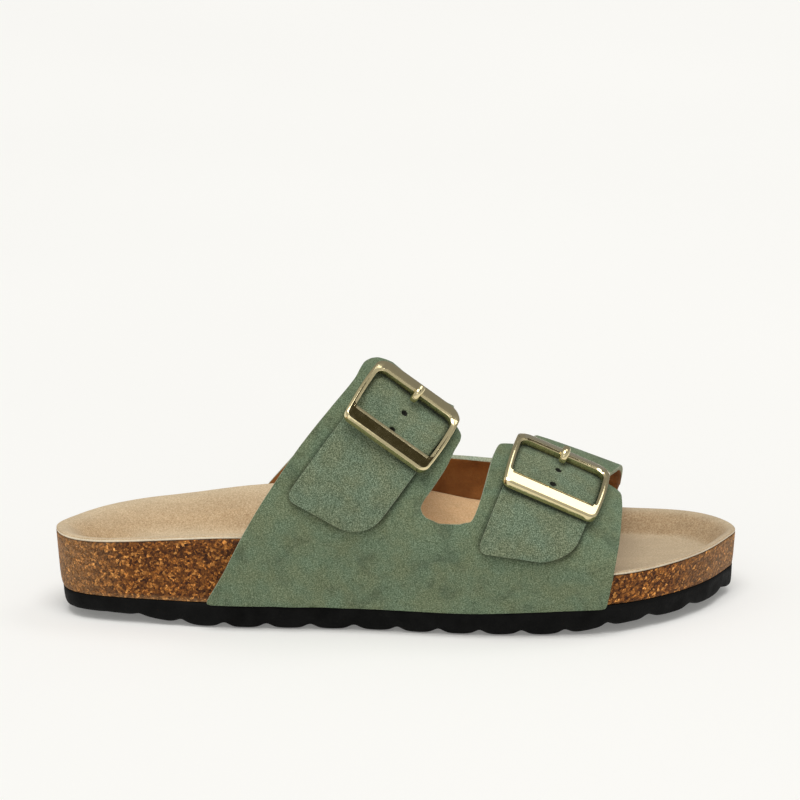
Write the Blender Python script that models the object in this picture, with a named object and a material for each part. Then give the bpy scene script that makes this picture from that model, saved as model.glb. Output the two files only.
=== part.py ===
"""A right-foot mule: two buckled suede straps over a cork footbed on a black sole.

The toe points along +X, the inner (medial) side of the foot is +Y and +Z is up.
Sizes are in millimetres, with x counted from the back of the heel, and they are turned into
metres when a mesh is made. The origin is on the floor under the middle of the shoe.
"""
import math
from collections import namedtuple
from functools import lru_cache

import bmesh
import bpy
import numpy as np

MM = 0.001
LATERAL = -1
MEDIAL = 1

# Driving sizes
LENGTH = 258.0
MIDDLE_Y = -1.27
GAP = 0.3
MERGE_DISTANCE = 0.01
WALL = 2.2
STRAP_THICK = 2.2
INSOLE_THICK = 1.4
SOLE_THICK = 10.0
TOE_SPRING = 3.0
TOP_SPRING = 1.4
SPRING_START = 186.0
SPRING_LENGTH = 30.0
TOP_SPRING_START = 150.0
TOP_SPRING_LENGTH = 45.0
HEEL_RISE = 3.2
HEEL_RISE_START = 22.0
HEEL_RISE_LENGTH = 36.0

# Cork footbed and sole edges, measured inwards from the rim's outline
CORK_LEAN = 1.3
CORK_BASE_INSET = 2.2
CORK_BASE_ROUND = 2.2
SOLE_TOP_INSET = 2.3
SOLE_FOOT_INSET = 2.7
SOLE_EDGE_INSET = 3.8
SOLE_EDGE_ROUND = 1.1
TOE_PLUMB = 0.5
TOE_PLUMB_START = 205.0
RIM_LIP = 2.0
BANK_POWER = 1.4
BED_SHARES = (0.06, 0.13, 0.2, 0.27, 0.35, 0.46, 0.64, 1.0)
SPINE_BACK = 26.0
SPINE_FRONT = 36.0
BED_STATIONS = 30
STEP_TURN = 0.002

# Tread: lobes cut by shallow grooves round the edge of the sole
LOBES_PER_SIDE = 18
LOBE_SHIFT = 2
PLAIN_HEEL = 10.0
PLAIN_FADE = 40.0
POINTS_PER_LOBE = 6
OUTLINE_STEPS = 400
GROOVE_DEPTH = 2.5
GROOVE_REACH = 0.3
GROOVE_END = 0.02
GROOVE_INNER_DEPTH = 0.8
LOBE_DEPTHS = (0.0, 0.04, 0.22, 1.0, 0.22, 0.04)

# Upper: how far its side walls stand off the cork and lean, and how low the form under it starts
LEG_CLEAR = 0.5
LEG_LEAN = 1.4
FOOT_DROP = 0.9
SECTION_STEPS = 48
STEP_X = 1.0
STEP_V = 0.02
ROWS_PER_SPAN = 2
REAR_COLUMNS = 9
SLOT_COLUMNS = 3
FRONT_COLUMNS = 7

# Straps and buckles
STRAP_WIDTH = 33.5
STRAP_COLUMNS = 6
STRAP_ROWS = 14
END_ROWS = 6
END_FIRST_TURN = 0.12
CORNER_REAR = 4.0
CORNER_FRONT = 11.0
WALK_STEP = 1.5
GIRTH = 90.0
DRAPE_ROUNDS = 12
DRAPE_LIMIT = 8.0
RAMP_START = 12.0
RAMP_LENGTH = 12.0
RAMP_FADE_START = 0.1
RAMP_FADE_LENGTH = 0.4
STRAP_TOP = 18.4
BUCKLE_LENGTH = 36.6
BUCKLE_HEIGHT = 33.0
BUCKLE_THICK = 2.4
LOW_CORNER = 2.8
TOP_CORNER = 5.5
LOW_BAR = 6.6
TOP_BAR = 6.3
SIDE_BAR = 2.2
SIDE_BOW = 0.9
TOP_SLOPE = 0.6
FRAME_STRAIGHT = 0.3
CORNER_STEPS = 5
BOW_STOPS = 7
PRONG_RADIUS = 1.2
PRONG_SIDES = 8
PRONG_REACH = 3.6
PRONG_TIP = 2.6
PRONG_CLEAR = 0.4
PRONG_STOPS = 9
PRONG_END = 0.7

Bed = namedtuple("Bed", "x lateral medial rim_lateral rim_medial floor bank_lateral bank_medial")
BED = [
    Bed(0, -7.5, -7.5, 32.8, 32.8, 21.8, 15, 15),
    Bed(6, -22.0, 4.5, 33.0, 33.0, 21.8, 15, 15),
    Bed(16, -27.2, 17.5, 33.2, 33.0, 21.3, 15, 15),
    Bed(32, -31.0, 27.5, 34.5, 33.4, 21.3, 15, 16),
    Bed(50, -34.5, 30.5, 36.3, 34.6, 21.6, 16, 18),
    Bed(70, -37.0, 29.0, 37.6, 37.8, 22.0, 17, 22),
    Bed(92, -38.0, 27.0, 36.8, 39.8, 22.2, 18, 24),
    Bed(115, -39.4, 29.5, 34.0, 38.4, 21.3, 19, 24),
    Bed(140, -43.4, 36.5, 30.6, 34.2, 19.3, 18, 22),
    Bed(160, -45.6, 42.0, 28.3, 27.8, 17.6, 15, 18),
    Bed(180, -46.0, 45.5, 26.4, 26.2, 16.3, 11, 13),
    Bed(200, -44.6, 46.3, 25.1, 25.2, 15.8, 8, 9),
    Bed(210, -42.6, 45.8, 24.9, 24.4, 15.6, 7, 8),
    Bed(220, -37.2, 44.3, 25.0, 24.4, 15.7, 7, 8),
    Bed(228, -31.5, 42.3, 25.2, 24.7, 16.0, 7, 8),
    Bed(236, -24.5, 39.3, 25.4, 25.2, 16.4, 7, 8),
    Bed(244, -15.6, 34.8, 25.6, 25.6, 17.0, 7, 8),
    Bed(250, -6.2, 29.4, 25.8, 25.8, 17.5, 7, 8),
    Bed(254, 2.0, 24.0, 25.8, 25.8, 17.9, 8, 8),
    Bed(258, 12.0, 12.0, 25.8, 25.8, 18.2, 8, 8),
]

# Rounded lip of the insole, from its underside to its top
Lip = namedtuple("Lip", "inset drop")
LIP = [
    Lip(0.3, INSOLE_THICK),
    Lip(-0.1, INSOLE_THICK / 2),
    Lip(0.4, 0.2),
]

# Inside of the upper across the foot: crest, where the side walls end, and fullness
Arch = namedtuple("Arch", "x crest crest_y shoulder_lateral shoulder_medial side top_lateral top_medial")
ARCH = [
    Arch(45, 107.8, 0.0, 36.8, 40.8, 0.42, 0.39, 0.42),
    Arch(85, 107.8, 0.0, 37.8, 42.8, 0.42, 0.39, 0.42),
    Arch(105, 103.2, -3.0, 37.8, 42.8, 0.42, 0.415, 0.40),
    Arch(120, 95.2, -6.0, 36.8, 41.8, 0.42, 0.44, 0.36),
    Arch(140, 79.0, -8.0, 33.8, 38.8, 0.42, 0.45, 0.32),
    Arch(160, 68.4, -7.0, 30.8, 34.8, 0.42, 0.45, 0.30),
    Arch(185, 59.3, -4.0, 27.8, 29.8, 0.42, 0.45, 0.30),
    Arch(215, 46.8, 0.0, 24.8, 25.8, 0.42, 0.45, 0.32),
]

# Pattern of the upper, row by row from the lateral feather edge over the crest to the medial one.
# Each row has its rear edge, the two sides of the slot and its front edge, as x and girth v:
# v is -1 at the lateral foot of the form, 0 at its crest and 1 at its medial foot.
Row = namedtuple("Row", "rear rear_v slot_a slot_a_v slot_b slot_b_v front front_v")
PATTERN = [
    Row(57.2, -0.990, 139.0, -0.990, 158.0, -0.990, 205.5, -0.990),
    Row(64.3, -0.880, 139.0, -0.870, 157.5, -0.870, 207.0, -0.870),
    Row(71.4, -0.750, 139.0, -0.740, 157.0, -0.740, 208.5, -0.740),
    Row(79.4, -0.630, 144.0, -0.592, 151.6, -0.582, 210.0, -0.620),
    Row(81.2, -0.606, 139.3, -0.579, 155.4, -0.568, 210.2, -0.592),
    Row(84.0, -0.567, 137.2, -0.543, 157.2, -0.530, 210.6, -0.548),
    Row(92.2, -0.455, 141.0, -0.460, 159.6, -0.435, 211.2, -0.450),
    Row(100.2, -0.350, 146.4, -0.340, 161.9, -0.310, 211.7, -0.340),
    Row(107.2, -0.250, 149.4, -0.240, 163.6, -0.210, 211.7, -0.260),
    Row(113.0, -0.150, 151.3, -0.180, 165.0, -0.145, 210.3, -0.215),
    Row(115.8, -0.066, 151.7, -0.145, 166.3, -0.105, 206.6, -0.180),
    Row(119.8, -0.012, 150.6, -0.110, 170.5, -0.075, 205.0, -0.140),
    Row(123.8, 0.030, 148.5, -0.065, 176.5, -0.045, 207.5, -0.085),
    Row(124.6, 0.100, 147.5, 0.000, 179.5, 0.020, 210.2, 0.000),
    Row(122.0, 0.200, 148.2, 0.110, 180.0, 0.120, 211.8, 0.110),
    Row(112.8, 0.330, 148.8, 0.250, 178.5, 0.250, 213.6, 0.250),
    Row(103.0, 0.450, 146.5, 0.400, 175.5, 0.400, 214.8, 0.420),
    Row(94.2, 0.560, 142.0, 0.540, 172.5, 0.540, 215.0, 0.550),
    Row(92.2, 0.585, 143.6, 0.573, 170.6, 0.573, 214.9, 0.585),
    Row(90.6, 0.605, 148.0, 0.588, 166.5, 0.588, 214.7, 0.605),
    Row(79.0, 0.730, 141.0, 0.740, 164.0, 0.740, 214.0, 0.740),
    Row(67.4, 0.880, 141.0, 0.870, 162.0, 0.870, 213.2, 0.870),
    Row(57.2, 0.990, 141.0, 0.990, 160.0, 0.990, 212.5, 0.990),
]
SLOT_FIRST_ROW = 3
SLOT_LAST_ROW = 19

# Where each buckle sits on the upper, how far its bars turn, the strap's turn below and above it,
# how long the strap's end hangs and how far that end slants
Strap = namedtuple("Strap", "name x v turn hang draw drop skew")
STRAPS = [
    Strap("rear", 129.0, -0.219, -2.9, -6.8, -8.0, 49.6, 0.13),
    Strap("front", 186.3, -0.285, -15.0, -17.2, -12.0, 39.3, 0.29),
]

# Section of a buckle's bar: share of its width from the window outwards, and share of its height
Bar = namedtuple("Bar", "share height")
BAR_PROFILE = [
    Bar(0.0, 0.3),
    Bar(0.0, 0.75),
    Bar(0.2, 1.0),
    Bar(0.8, 1.0),
    Bar(1.0, 0.7),
    Bar(1.0, 0.25),
    Bar(0.85, 0.0),
    Bar(0.15, 0.0),
]

COLOURS = {
    "sage_suede": (0.13, 0.16, 0.10, 1.0),
    "cork": (0.19, 0.08, 0.025, 1.0),
    "beige_suede": (0.56, 0.42, 0.25, 1.0),
    "black_rubber": (0.012, 0.012, 0.011, 1.0),
    "pale_gold": (0.80, 0.68, 0.40, 1.0),
}


# Curves and profiles

def steady_slopes(xs, ys):
    """Slopes with which a curve never swings past its points."""
    runs = np.diff(ys) / np.diff(xs)
    slopes = [runs[0]]
    for before, after in zip(runs, runs[1:]):
        same_way = before * after > 0
        slopes.append(2 * before * after / (before + after) if same_way else 0.0)
    return slopes + [runs[-1]]


def smooth_curve(xs, ys, steady=False):
    """Return a function for the smooth curve through the given points."""
    xs = np.asarray(xs, float)
    ys = np.asarray(ys, float)
    slopes = steady_slopes(xs, ys) if steady else np.gradient(ys, xs)

    def value(x):
        x = min(max(x, xs[0]), xs[-1])
        k = min(int(np.searchsorted(xs, x, side="right")) - 1, len(xs) - 2)
        span = xs[k + 1] - xs[k]
        t = (x - xs[k]) / span
        start = ys[k] * (1 + 2 * t) * (1 - t) ** 2
        end = ys[k + 1] * t * t * (3 - 2 * t)
        lean_in = slopes[k] * span * t * (1 - t) ** 2
        lean_out = slopes[k + 1] * span * t * t * (t - 1)
        return float(start + end + lean_in + lean_out)

    return value


def smooth_step(t):
    t = min(max(t, 0.0), 1.0)
    return t * t * (3 - 2 * t)


def turn_of(x):
    """Angle that runs from 0 at the heel to pi at the toe, so that both ends come out round."""
    return math.acos(1 - 2 * min(max(x, 0.0), LENGTH) / LENGTH)


def x_of(turn):
    return LENGTH * (1 - math.cos(turn)) / 2


def by_turn(column):
    return smooth_curve([turn_of(row.x) for row in BED], [getattr(row, column) for row in BED])


def by_x(column):
    return smooth_curve([row.x for row in ARCH], [getattr(row, column) for row in ARCH])


edge_y = {LATERAL: by_turn("lateral"), MEDIAL: by_turn("medial")}
rim_z = {LATERAL: by_turn("rim_lateral"), MEDIAL: by_turn("rim_medial")}
bank = {LATERAL: by_turn("bank_lateral"), MEDIAL: by_turn("bank_medial")}
floor_z = by_turn("floor")
crest_z = by_x("crest")
crest_y = by_x("crest_y")
shoulder_z = {LATERAL: by_x("shoulder_lateral"), MEDIAL: by_x("shoulder_medial")}
side_round = by_x("side")
top_round = {LATERAL: by_x("top_lateral"), MEDIAL: by_x("top_medial")}


def ground_z(x):
    """Underside of the sole: flat in the middle, with a toe spring and a raised heel edge."""
    toe = smooth_step((x - SPRING_START) / SPRING_LENGTH)
    heel = 1 - smooth_step((x - HEEL_RISE_START) / HEEL_RISE_LENGTH)
    return TOE_SPRING * toe + HEEL_RISE * heel


def sole_top_z(x):
    return SOLE_THICK + TOP_SPRING * smooth_step((x - TOP_SPRING_START) / TOP_SPRING_LENGTH)


# Outline of the footbed, its spine, and the hollow between them

def outline(side, turn, inset=0.0):
    """Point of the outline on one side, moved inwards by an inset."""
    low = max(turn - STEP_TURN, 0.0)
    high = min(turn + STEP_TURN, math.pi)
    dx = LENGTH / 2 * math.sin(turn) * (high - low)
    dy = edge_y[side](high) - edge_y[side](low)
    size = math.hypot(dx, dy)
    out = (-side * dy / size, side * dx / size)
    return np.array([x_of(turn) - out[0] * inset, edge_y[side](turn) - out[1] * inset])


def tucked(side, turn, inset):
    """Point of the cork's side or the sole's, which stand more upright at the toe."""
    toe = smooth_step((x_of(turn) - TOE_PLUMB_START) / (LENGTH - TOE_PLUMB_START))
    return outline(side, turn, inset * (1 - TOE_PLUMB * toe))


def spine(turn):
    share = x_of(turn) / LENGTH
    x = SPINE_BACK + (LENGTH - SPINE_FRONT - SPINE_BACK) * share
    at = turn_of(x)
    return np.array([x, (edge_y[LATERAL](at) + edge_y[MEDIAL](at)) / 2])


def inward(side, turn, share, inset=0.0):
    """Point a share of the way from the outline to the spine."""
    start = tucked(side, turn, inset)
    return start + (spine(turn) - start) * share


def hollow(side, turn, share):
    """Point on the top of the footbed, which dips from its rim to its floor."""
    start = outline(side, turn)
    at = inward(side, turn, share)
    away = math.dist(start, at)
    dip = min(max((away - RIM_LIP) / bank[side](turn), 0.0), 1.0) ** BANK_POWER
    rim = rim_z[side](turn)
    return np.array([at[0], at[1], rim + (floor_z(turn_of(at[0])) - rim) * dip])


def around(turns):
    """Go once round the outline: out along the lateral side and back along the medial one."""
    there = [(LATERAL, turn) for turn in turns]
    back = [(MEDIAL, turn) for turn in reversed(turns[1:-1])]
    return there + back


# Meshes

def metres(point):
    return ((point[0] - LENGTH / 2) * MM, (point[1] - MIDDLE_Y) * MM, point[2] * MM)


def material(name, roughness, metallic=0.0):
    made = bpy.data.materials.new(name)
    made.use_nodes = True
    shader = made.node_tree.nodes["Principled BSDF"]
    shader.inputs["Base Color"].default_value = COLOURS[name]
    shader.inputs["Roughness"].default_value = roughness
    shader.inputs["Metallic"].default_value = metallic
    return made


def add_object(name, mesh_data, finish, crease_angle=50.0):
    """Close a mesh, turn its faces out and add it to the scene under its plain name."""
    bmesh.ops.remove_doubles(mesh_data, verts=mesh_data.verts, dist=MERGE_DISTANCE * MM)
    bmesh.ops.recalc_face_normals(mesh_data, faces=mesh_data.faces)
    mesh = bpy.data.meshes.new(name)
    mesh_data.to_mesh(mesh)
    mesh_data.free()
    mesh.shade_smooth()
    mesh.set_sharp_from_angle(angle=math.radians(crease_angle))
    mesh.materials.append(finish)
    made = bpy.data.objects.new(name, mesh)
    bpy.context.scene.collection.objects.link(made)
    return made


def add_cell(made, corners):
    """Fill a four-cornered cell with two triangles that meet along its shorter diagonal."""
    a, b, c, d = corners
    if (a.co - c.co).length <= (b.co - d.co).length:
        pair = ((a, b, c), (a, c, d))
    else:
        pair = ((a, b, d), (b, c, d))
    for corner_three in pair:
        made.faces.new(corner_three)


def skin(rings, closed_ends):
    """Join rings of points with faces, and cap the first and last ring where asked."""
    made = bmesh.new()
    loops = [[made.verts.new(metres(point)) for point in ring] for ring in rings]
    for lower, upper in zip(loops, loops[1:]):
        count = len(lower)
        for k in range(count):
            after = (k + 1) % count
            add_cell(made, (lower[k], lower[after], upper[after], upper[k]))
    if closed_ends:
        made.faces.new(loops[0])
        made.faces.new(loops[-1])
    return made


def sheet_solid(inner, outer, keep):
    """Make a wall from two grids of points, with a rim wherever a kept cell has no neighbour."""
    made = bmesh.new()
    used = {}

    def corner(grid_name, grid, i, j):
        key = (grid_name, i, j)
        if key not in used:
            used[key] = made.verts.new(metres(grid[i][j]))
        return used[key]

    edges = {}
    for i, j in keep:
        ring = [(i, j), (i, j + 1), (i + 1, j + 1), (i + 1, j)]
        add_cell(made, [corner("outer", outer, *at) for at in ring])
        add_cell(made, [corner("inner", inner, *at) for at in reversed(ring)])
        for start, end in zip(ring, ring[1:] + ring[:1]):
            if (end, start) in edges:
                del edges[(end, start)]
            else:
                edges[(start, end)] = True
    for start, end in edges:
        rim = [corner("outer", outer, *end), corner("outer", outer, *start)]
        rim += [corner("inner", inner, *start), corner("inner", inner, *end)]
        made.faces.new(rim)
    return made


# Sole, footbed and insole

def make_outsole(finish):
    """Black sole whose edge is cut into lobes by shallow grooves."""
    dense = np.linspace(0, math.pi, OUTLINE_STEPS)
    middle = [(outline(LATERAL, t) + outline(MEDIAL, t)) / 2 for t in dense]
    path = np.array([at + [0, edge_y[MEDIAL](t)] for at, t in zip(middle, dense)])
    run = np.concatenate([[0], np.cumsum(np.linalg.norm(np.diff(path, axis=0), axis=1))])
    count = LOBES_PER_SIDE * POINTS_PER_LOBE
    turns = list(np.interp(np.linspace(0, run[-1], count + 1), run, dense))
    stops = around(turns)
    marks = [(min(k, 2 * count - k) + LOBE_SHIFT) % POINTS_PER_LOBE for k in range(len(stops))]
    depths = [GROOVE_DEPTH * smooth_step((x_of(turn) - PLAIN_HEEL) / PLAIN_FADE) for _, turn in stops]
    cuts = [LOBE_DEPTHS[mark] * depth for mark, depth in zip(marks, depths)]

    def under(share, groove):
        ring = []
        for (side, turn), cut in zip(stops, cuts):
            at = inward(side, turn, share, SOLE_EDGE_INSET)
            ring.append((at[0], at[1], ground_z(at[0]) + cut * groove))
        return ring

    def over(share):
        ring = []
        for side, turn in stops:
            at = inward(side, turn, share, SOLE_TOP_INSET)
            ring.append((at[0], at[1], sole_top_z(at[0])))
        return ring

    def wall(inset, rise):
        ring = []
        for (side, turn), cut in zip(stops, cuts):
            at = tucked(side, turn, inset)
            ring.append((at[0], at[1], ground_z(at[0]) + max(rise, cut + rise / 2)))
        return ring

    rings = [under(1.0, 0.0), under(GROOVE_REACH + GROOVE_END, 0.0)]
    rings += [under(GROOVE_REACH, GROOVE_INNER_DEPTH), under(0.0, 1.0)]
    rings += [wall(SOLE_FOOT_INSET, SOLE_EDGE_ROUND), over(0.0), over(1.0)]
    return add_object("outsole", skin(rings, False), finish)


def make_footbed(finish):
    """Cork footbed: rounded base, leaning side and a hollowed top that carries the insole."""
    stops = around(list(np.linspace(0, math.pi, BED_STATIONS + 1)))
    drop = INSOLE_THICK + GAP

    def base(share):
        ring = []
        for side, turn in stops:
            at = inward(side, turn, share, CORK_BASE_INSET)
            ring.append((at[0], at[1], sole_top_z(at[0]) + GAP))
        return ring

    def side_ring(inset, share):
        ring = []
        for side, turn in stops:
            at = tucked(side, turn, inset)
            low = sole_top_z(at[0]) + GAP + CORK_BASE_ROUND
            ring.append((at[0], at[1], low + (rim_z[side](turn) - drop - low) * share))
        return ring

    def top(share):
        return [hollow(side, turn, share) - [0, 0, drop] for side, turn in stops]

    rings = [base(1.0), base(0.0), side_ring(CORK_LEAN, 0.0), side_ring(CORK_LEAN / 2, 0.5)]
    rings += [side_ring(0.0, 1.0)]
    rings += [top(share) for share in BED_SHARES]
    return add_object("footbed", skin(rings, False), finish)


def make_insole(finish):
    """Suede insole that lines the hollow and ends in a rounded lip at the rim."""
    stops = around(list(np.linspace(0, math.pi, BED_STATIONS + 1)))

    def layer(share, drop):
        return [hollow(side, turn, share) - [0, 0, drop] for side, turn in stops]

    def lip(inset, drop):
        ring = []
        for side, turn in stops:
            at = outline(side, turn, inset)
            ring.append((at[0], at[1], rim_z[side](turn) - drop))
        return ring

    rings = [layer(share, INSOLE_THICK) for share in reversed(BED_SHARES)]
    rings += [lip(row.inset, row.drop) for row in LIP]
    rings += [layer(share, 0.0) for share in BED_SHARES]
    return add_object("insole", skin(rings, False), finish)


# Upper

@lru_cache(maxsize=None)
def half_section(x, side):
    """Inside of the upper at one station, from the feather edge to the crest."""
    y_out = edge_y[side](turn_of(x)) + side * LEG_CLEAR
    foot = np.array([y_out - side * LEG_LEAN, sole_top_z(x) - FOOT_DROP])
    low = np.array([y_out, shoulder_z[side](x)])
    top = np.array([crest_y(x), crest_z(x)])
    bend = np.array([y_out, low[1] + side_round(x) * (top[1] - low[1])])
    crown = np.array([top[0] + top_round[side](x) * (y_out - top[0]), top[1]])
    t = np.linspace(0, 1, SECTION_STEPS + 1)[:, None]
    arc = low * (1 - t) ** 3 + 3 * bend * t * (1 - t) ** 2 + 3 * crown * t * t * (1 - t) + top * t ** 3
    line = np.vstack([foot, arc])
    run = np.concatenate([[0], np.cumsum(np.linalg.norm(np.diff(line, axis=0), axis=1))])
    return run / run[-1], line


def inside_point(x, v):
    side = LATERAL if v < 0 else MEDIAL
    run, line = half_section(round(x, 4), side)
    share = 1 - min(abs(v), 1.0)
    return np.array([x, np.interp(share, run, line[:, 0]), np.interp(share, run, line[:, 1])])


def outward(x, v):
    along = inside_point(x + STEP_X, v) - inside_point(x - STEP_X, v)
    across = inside_point(x, min(v + STEP_V, 1.0)) - inside_point(x, max(v - STEP_V, -1.0))
    normal = np.cross(along, across)
    return normal / np.linalg.norm(normal)


def shell_point(x, v, lift):
    """Point of the upper's form, lifted off its inside along the outward direction."""
    return inside_point(x, v) + outward(x, v) * lift


class Seat:
    """Flat frame of one buckle: its middle, the way of its bars, of its strap and outwards."""

    def __init__(self, strap):
        self.strap = strap
        self.top = WALL + GAP + STRAP_THICK
        self.middle = shell_point(strap.x, strap.v, self.top)
        self.out = outward(strap.x, strap.v)
        forward = inside_point(strap.x + STEP_X, strap.v) - inside_point(strap.x - STEP_X, strap.v)
        forward /= np.linalg.norm(forward)
        upward = np.cross(self.out, forward)
        turn = math.radians(strap.turn)
        self.bar = forward * math.cos(turn) + upward * math.sin(turn)
        self.up = np.cross(self.out, self.bar)

    def along(self, point):
        return float((point - self.middle) @ self.up)

    def rise(self, x, v):
        """How far the strap lifts over the end of the tab beneath it, fading on the medial side."""
        ramp = smooth_step((self.along(inside_point(x, v)) - RAMP_START) / RAMP_LENGTH)
        fade = 1 - smooth_step((v - RAMP_FADE_START) / RAMP_FADE_LENGTH)
        return (GAP + STRAP_THICK) * ramp * fade

    def drape(self, p, q):
        """Find the x and v of the form straight under a point of the flat frame."""
        x = self.strap.x + p
        v = self.strap.v + q / GIRTH
        for _ in range(DRAPE_ROUNDS):
            at = shell_point(x, v, self.top) - self.middle
            miss = np.array([at @ self.bar - p, at @ self.up - q])
            by_step = (shell_point(x + STEP_X, v, self.top) - self.middle - at) / STEP_X
            by_girth = (shell_point(x, v + STEP_V, self.top) - self.middle - at) / STEP_V
            slope = np.array([self.bar, self.up]) @ np.column_stack([by_step, by_girth])
            move = np.linalg.solve(slope, miss)
            x -= float(np.clip(move[0], -DRAPE_LIMIT, DRAPE_LIMIT))
            v -= float(np.clip(move[1], -DRAPE_LIMIT / GIRTH, DRAPE_LIMIT / GIRTH))
        return x, v

    def walk(self, x, v, way, distance):
        """Go a distance over the strap's outside, keeping as straight as the form allows."""
        steps = max(1, math.ceil(abs(distance) / WALK_STEP))
        for _ in range(steps):
            normal = outward(x, v)
            way = way - normal * (way @ normal)
            way /= np.linalg.norm(way)
            ahead = shell_point(x + STEP_X, v, self.top)
            behind = shell_point(x - STEP_X, v, self.top)
            above = shell_point(x, v + STEP_V, self.top)
            below = shell_point(x, v - STEP_V, self.top)
            by_step = (ahead - behind) / (2 * STEP_X)
            by_girth = (above - below) / (2 * STEP_V)
            basis = np.column_stack([by_step, by_girth])
            move = np.linalg.lstsq(basis, way * distance / steps, rcond=None)[0]
            x += float(move[0])
            v += float(move[1])
        return x, v, way

    def strap_way(self, q):
        """Way of the strap, which turns a little where it passes the buckle."""
        above = smooth_step(q / BUCKLE_HEIGHT + 0.5)
        turn = self.strap.hang + (self.strap.draw - self.strap.hang) * above - self.strap.turn
        lean = math.radians(turn)
        return self.up * math.cos(lean) - self.bar * math.sin(lean)

    def place(self, p, q, height):
        return self.middle + self.bar * p + self.up * q + self.out * height

    def surface_height(self, p, q):
        x, v = self.drape(p, q)
        return float((shell_point(x, v, self.top) - self.middle) @ self.out)


def pattern_rows():
    """Pattern rows with smooth rows added between the given ones."""
    marks = np.arange(len(PATTERN))
    columns = [[row[k] for row in PATTERN] for k in range(len(Row._fields))]
    curves = [smooth_curve(marks, column, steady=True) for column in columns]
    steps = np.linspace(0, len(PATTERN) - 1, (len(PATTERN) - 1) * ROWS_PER_SPAN + 1)
    return [[curve(step) for curve in curves] for step in steps]


def make_upper(seats, finish):
    """One hollow suede wall: both quarters and both straps, open at heel, toe, slots and underneath."""
    inner = []
    outer = []
    for row in pattern_rows():
        marks = [np.array(row[k:k + 2]) for k in range(0, len(row), 2)]
        bands = zip(marks, marks[1:], (REAR_COLUMNS, SLOT_COLUMNS, FRONT_COLUMNS))
        line = [marks[0]]
        for start, end, columns in bands:
            line += [start + (end - start) * (k + 1) / columns for k in range(columns)]
        half = REAR_COLUMNS + SLOT_COLUMNS // 2
        lifts = [seats[0 if k <= half else 1].rise(*at) for k, at in enumerate(line)]
        inner.append([shell_point(*at, lift) for at, lift in zip(line, lifts)])
        outer.append([shell_point(*at, lift + WALL) for at, lift in zip(line, lifts)])
    rows = len(inner) - 1
    columns = len(inner[0]) - 1
    slot_rows = range(SLOT_FIRST_ROW * ROWS_PER_SPAN, SLOT_LAST_ROW * ROWS_PER_SPAN)
    slot_columns = range(REAR_COLUMNS, REAR_COLUMNS + SLOT_COLUMNS)
    cells = [(i, j) for i in range(rows) for j in range(columns)]
    keep = [(i, j) for i, j in cells if i not in slot_rows or j not in slot_columns]
    return add_object("upper", sheet_solid(inner, outer, keep), finish)


def corner_cut(above, radius):
    """How far a rounded corner draws the edge in at a height above the strap's end."""
    if above >= radius:
        return 0.0
    return radius - math.sqrt(radius ** 2 - (radius - above) ** 2)


def make_strap_end(seat, finish):
    """Free end of a strap: under the buckle and down over the tab, with a rounded end."""
    end = -seat.strap.drop
    bends = np.linspace(END_FIRST_TURN, math.pi / 2, END_ROWS)
    curved = end + CORNER_FRONT * (1 - np.cos(bends))
    straight = np.linspace(end + CORNER_FRONT, STRAP_TOP, STRAP_ROWS + 1)[1:]
    inner = []
    outer = []
    for q in np.concatenate([curved, straight]):
        rear = -STRAP_WIDTH / 2 + corner_cut(q - end, CORNER_REAR)
        front = STRAP_WIDTH / 2 - corner_cut(q - end, CORNER_FRONT)
        straight_share = smooth_step((q - end) / (seat.strap.drop - BUCKLE_HEIGHT / 2))
        skew = seat.strap.skew * (1 - straight_share)
        x, v, up = seat.walk(seat.strap.x, seat.strap.v, seat.strap_way(q), q)
        bar = np.cross(up, outward(x, v)) + up * skew
        spots = [seat.walk(x, v, bar, p)[:2] for p in np.linspace(rear, front, STRAP_COLUMNS + 1)]
        inner.append([shell_point(*at, WALL + GAP + seat.rise(*at)) for at in spots])
        outer.append([shell_point(*at, seat.top) for at in spots])
    cells = [(i, j) for i in range(len(inner) - 1) for j in range(STRAP_COLUMNS)]
    return add_object("strap_end_" + seat.strap.name, sheet_solid(inner, outer, cells), finish)


# Buckles

def rounded_loop(left, right, low, high, shrink, bow):
    """Rectangle with round corners, whose two short sides bow outwards a little."""
    loop = []
    corners = [(right, high, 0), (left, high, 90), (left, low, 180), (right, low, 270)]
    for p, q, start in corners:
        radius = (TOP_CORNER if q > 0 else LOW_CORNER) - shrink
        centre = (p - math.copysign(radius, p), q - math.copysign(radius, q))
        for k in range(CORNER_STEPS):
            angle = math.radians(start + 90 * k / (CORNER_STEPS - 1))
            loop.append((centre[0] + radius * math.cos(angle), centre[1] + radius * math.sin(angle)))
        if p < 0 < q or q < 0 < p:
            side = p + math.copysign(bow, p)
            loop.append((side, (low + high) / 2))
    return loop


def buckle_bow(seat):
    """Curve of the frame's underside, which clears the strap at both bars and in the middle."""
    reach = np.linspace(-BUCKLE_LENGTH / 2, BUCKLE_LENGTH / 2, BOW_STOPS)
    levels = []
    for centre, width in ((-1, LOW_BAR), (0, 0.0), (1, TOP_BAR)):
        outer = centre * BUCKLE_HEIGHT / 2
        spots = (outer, outer - centre * width)
        levels.append(max(seat.surface_height(p, q) for p in reach for q in spots) + GAP)
    levels[1] = max(levels[1], (levels[0] + levels[2]) / 2)
    levels = [level + (max(levels) - level) * FRAME_STRAIGHT for level in levels]
    return smooth_curve((-BUCKLE_HEIGHT / 2, 0.0, BUCKLE_HEIGHT / 2), levels)


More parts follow.
